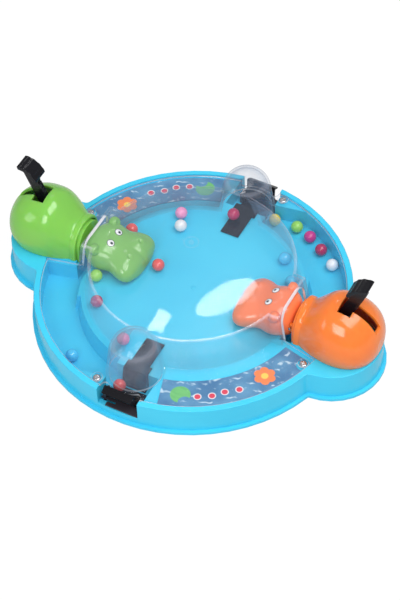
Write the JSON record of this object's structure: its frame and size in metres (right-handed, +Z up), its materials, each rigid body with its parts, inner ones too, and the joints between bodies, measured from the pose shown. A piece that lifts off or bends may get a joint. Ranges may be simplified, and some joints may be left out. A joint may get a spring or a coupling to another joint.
{
  "type": "bean-eating tabletop game",
  "caption": "Tabletop bean-eating game: levers slide nodding hippo-style heads over a round tray under a clear cover, and finger launchers toss the eaten beans back.",
  "frame": {"origin": "bottom centre of the tray, on the surface that it stands on", "axes": "+X towards the orange body, with the heads facing each other along X; +Y towards the back launcher; +Z up"},
  "size_m": [0.2586, 0.204, 0.078],
  "materials": {
    "tray_blue": "glossy moulded plastic",
    "clear": "clear glossy vacuum-formed sheet",
    "green": "glossy moulded plastic",
    "orange": "glossy moulded plastic",
    "black": "glossy moulded plastic",
    "steel": "plated",
    "print": "printed and coated",
    "bean_pink": "glossy moulded plastic",
    "bean_white": "glossy moulded plastic",
    "bean_crimson": "glossy moulded plastic",
    "bean_coral": "glossy moulded plastic",
    "bean_lime": "glossy moulded plastic",
    "bean_sky_blue": "glossy moulded plastic",
    "bean_magenta": "glossy moulded plastic",
    "bean_yellow": "glossy moulded plastic"
  },
  "bodies": {
    "root": {"back_label": "print", "back_launcher_cradle": "black", "back_launcher_pin": "steel", "back_launcher_ramp": "black", "bean_coral_1": "bean_coral", "bean_coral_2": "bean_coral", "bean_crimson_1": "bean_crimson", "bean_crimson_2": "bean_crimson", "bean_crimson_3": "bean_crimson", "bean_lime_1": "bean_lime", "bean_lime_2": "bean_lime", "bean_magenta_1": "bean_magenta", "bean_pink_1": "bean_pink", "bean_pink_2": "bean_pink", "bean_sky_blue_1": "bean_sky_blue", "bean_sky_blue_2": "bean_sky_blue", "bean_sky_blue_3": "bean_sky_blue", "bean_white_1": "bean_white", "bean_white_2": "bean_white", "bean_yellow_1": "bean_yellow", "clear_cover": "clear", "cover_screw_1": "steel", "cover_screw_2": "steel", "cover_screw_3": "steel", "cover_screw_4": "steel", "front_label": "print", "front_launcher_cradle": "black", "front_launcher_pin": "steel", "front_launcher_ramp": "black", "green_body_screw_1": "steel", "green_body_screw_2": "steel", "green_body_screw_3": "steel", "green_body_shell": "green", "green_lever_axle": "steel", "green_return_spring": "steel", "orange_body_screw_1": "steel", "orange_body_screw_2": "steel", "orange_body_screw_3": "steel", "orange_body_shell": "orange", "orange_lever_axle": "steel", "orange_return_spring": "steel", "tray": "tray_blue"},
    "orange_lever": {"orange_lever": "black"},
    "orange_neck": {"orange_neck": "orange", "orange_head_pin": "steel"},
    "orange_head": {"orange_head": "orange"},
    "green_lever": {"green_lever": "black"},
    "green_neck": {"green_neck": "green", "green_head_pin": "steel"},
    "green_head": {"green_head": "green"},
    "back_launcher": {"back_launcher_lever": "black"},
    "front_launcher": {"front_launcher_lever": "black", "front_loaded_bean": "bean_coral"}
  },
  "joints": [
    {"name": "orange_lever_press", "type": "hinge", "parent": "root", "child": "orange_lever", "pos_m": [0.096, 0, 0.028], "axis": [0, 1, 0], "range_deg": [0, 35], "stiffness_Nm_per_rad": 0.03, "springref_deg": -17.19, "deforming": ["orange_return_spring"]},
    {"name": "orange_neck_slide", "type": "slide", "parent": "root", "child": "orange_neck", "axis": [-1, 0, 0], "range_m": [0, 0.0051]},
    {"name": "orange_head_nod", "type": "hinge", "parent": "orange_neck", "child": "orange_head", "pos_m": [0.071, 0, 0.026], "axis": [0, 1, 0], "range_deg": [0, 14.5]},
    {"name": "green_lever_press", "type": "hinge", "parent": "root", "child": "green_lever", "pos_m": [-0.096, 0, 0.028], "axis": [0, -1, 0], "range_deg": [0, 35], "stiffness_Nm_per_rad": 0.03, "springref_deg": -17.19, "deforming": ["green_return_spring"]},
    {"name": "green_neck_slide", "type": "slide", "parent": "root", "child": "green_neck", "axis": [1, 0, 0], "range_m": [0, 0.0051]},
    {"name": "green_head_nod", "type": "hinge", "parent": "green_neck", "child": "green_head", "pos_m": [-0.071, 0, 0.026], "axis": [0, -1, 0], "range_deg": [0, 14.5]},
    {"name": "back_launcher_flip", "type": "hinge", "parent": "root", "child": "back_launcher", "pos_m": [0, 0.091, 0.0102], "axis": [-1, 0, 0], "range_deg": [0, 26], "stiffness_Nm_per_rad": 0.001, "springref_deg": -17.19},
    {"name": "front_launcher_flip", "type": "hinge", "parent": "root", "child": "front_launcher", "pos_m": [0, -0.091, 0.0102], "axis": [1, 0, 0], "range_deg": [0, 26], "stiffness_Nm_per_rad": 0.001, "springref_deg": -17.19}
  ],
  "couplings": [
    {"joint": "orange_neck_slide", "follows": "orange_lever_press", "m_per_rad": 0.00818},
    {"joint": "orange_head_nod", "follows": "orange_lever_press", "ratio": 0.4},
    {"joint": "green_neck_slide", "follows": "green_lever_press", "m_per_rad": 0.00818},
    {"joint": "green_head_nod", "follows": "green_lever_press", "ratio": 0.4}
  ]
}
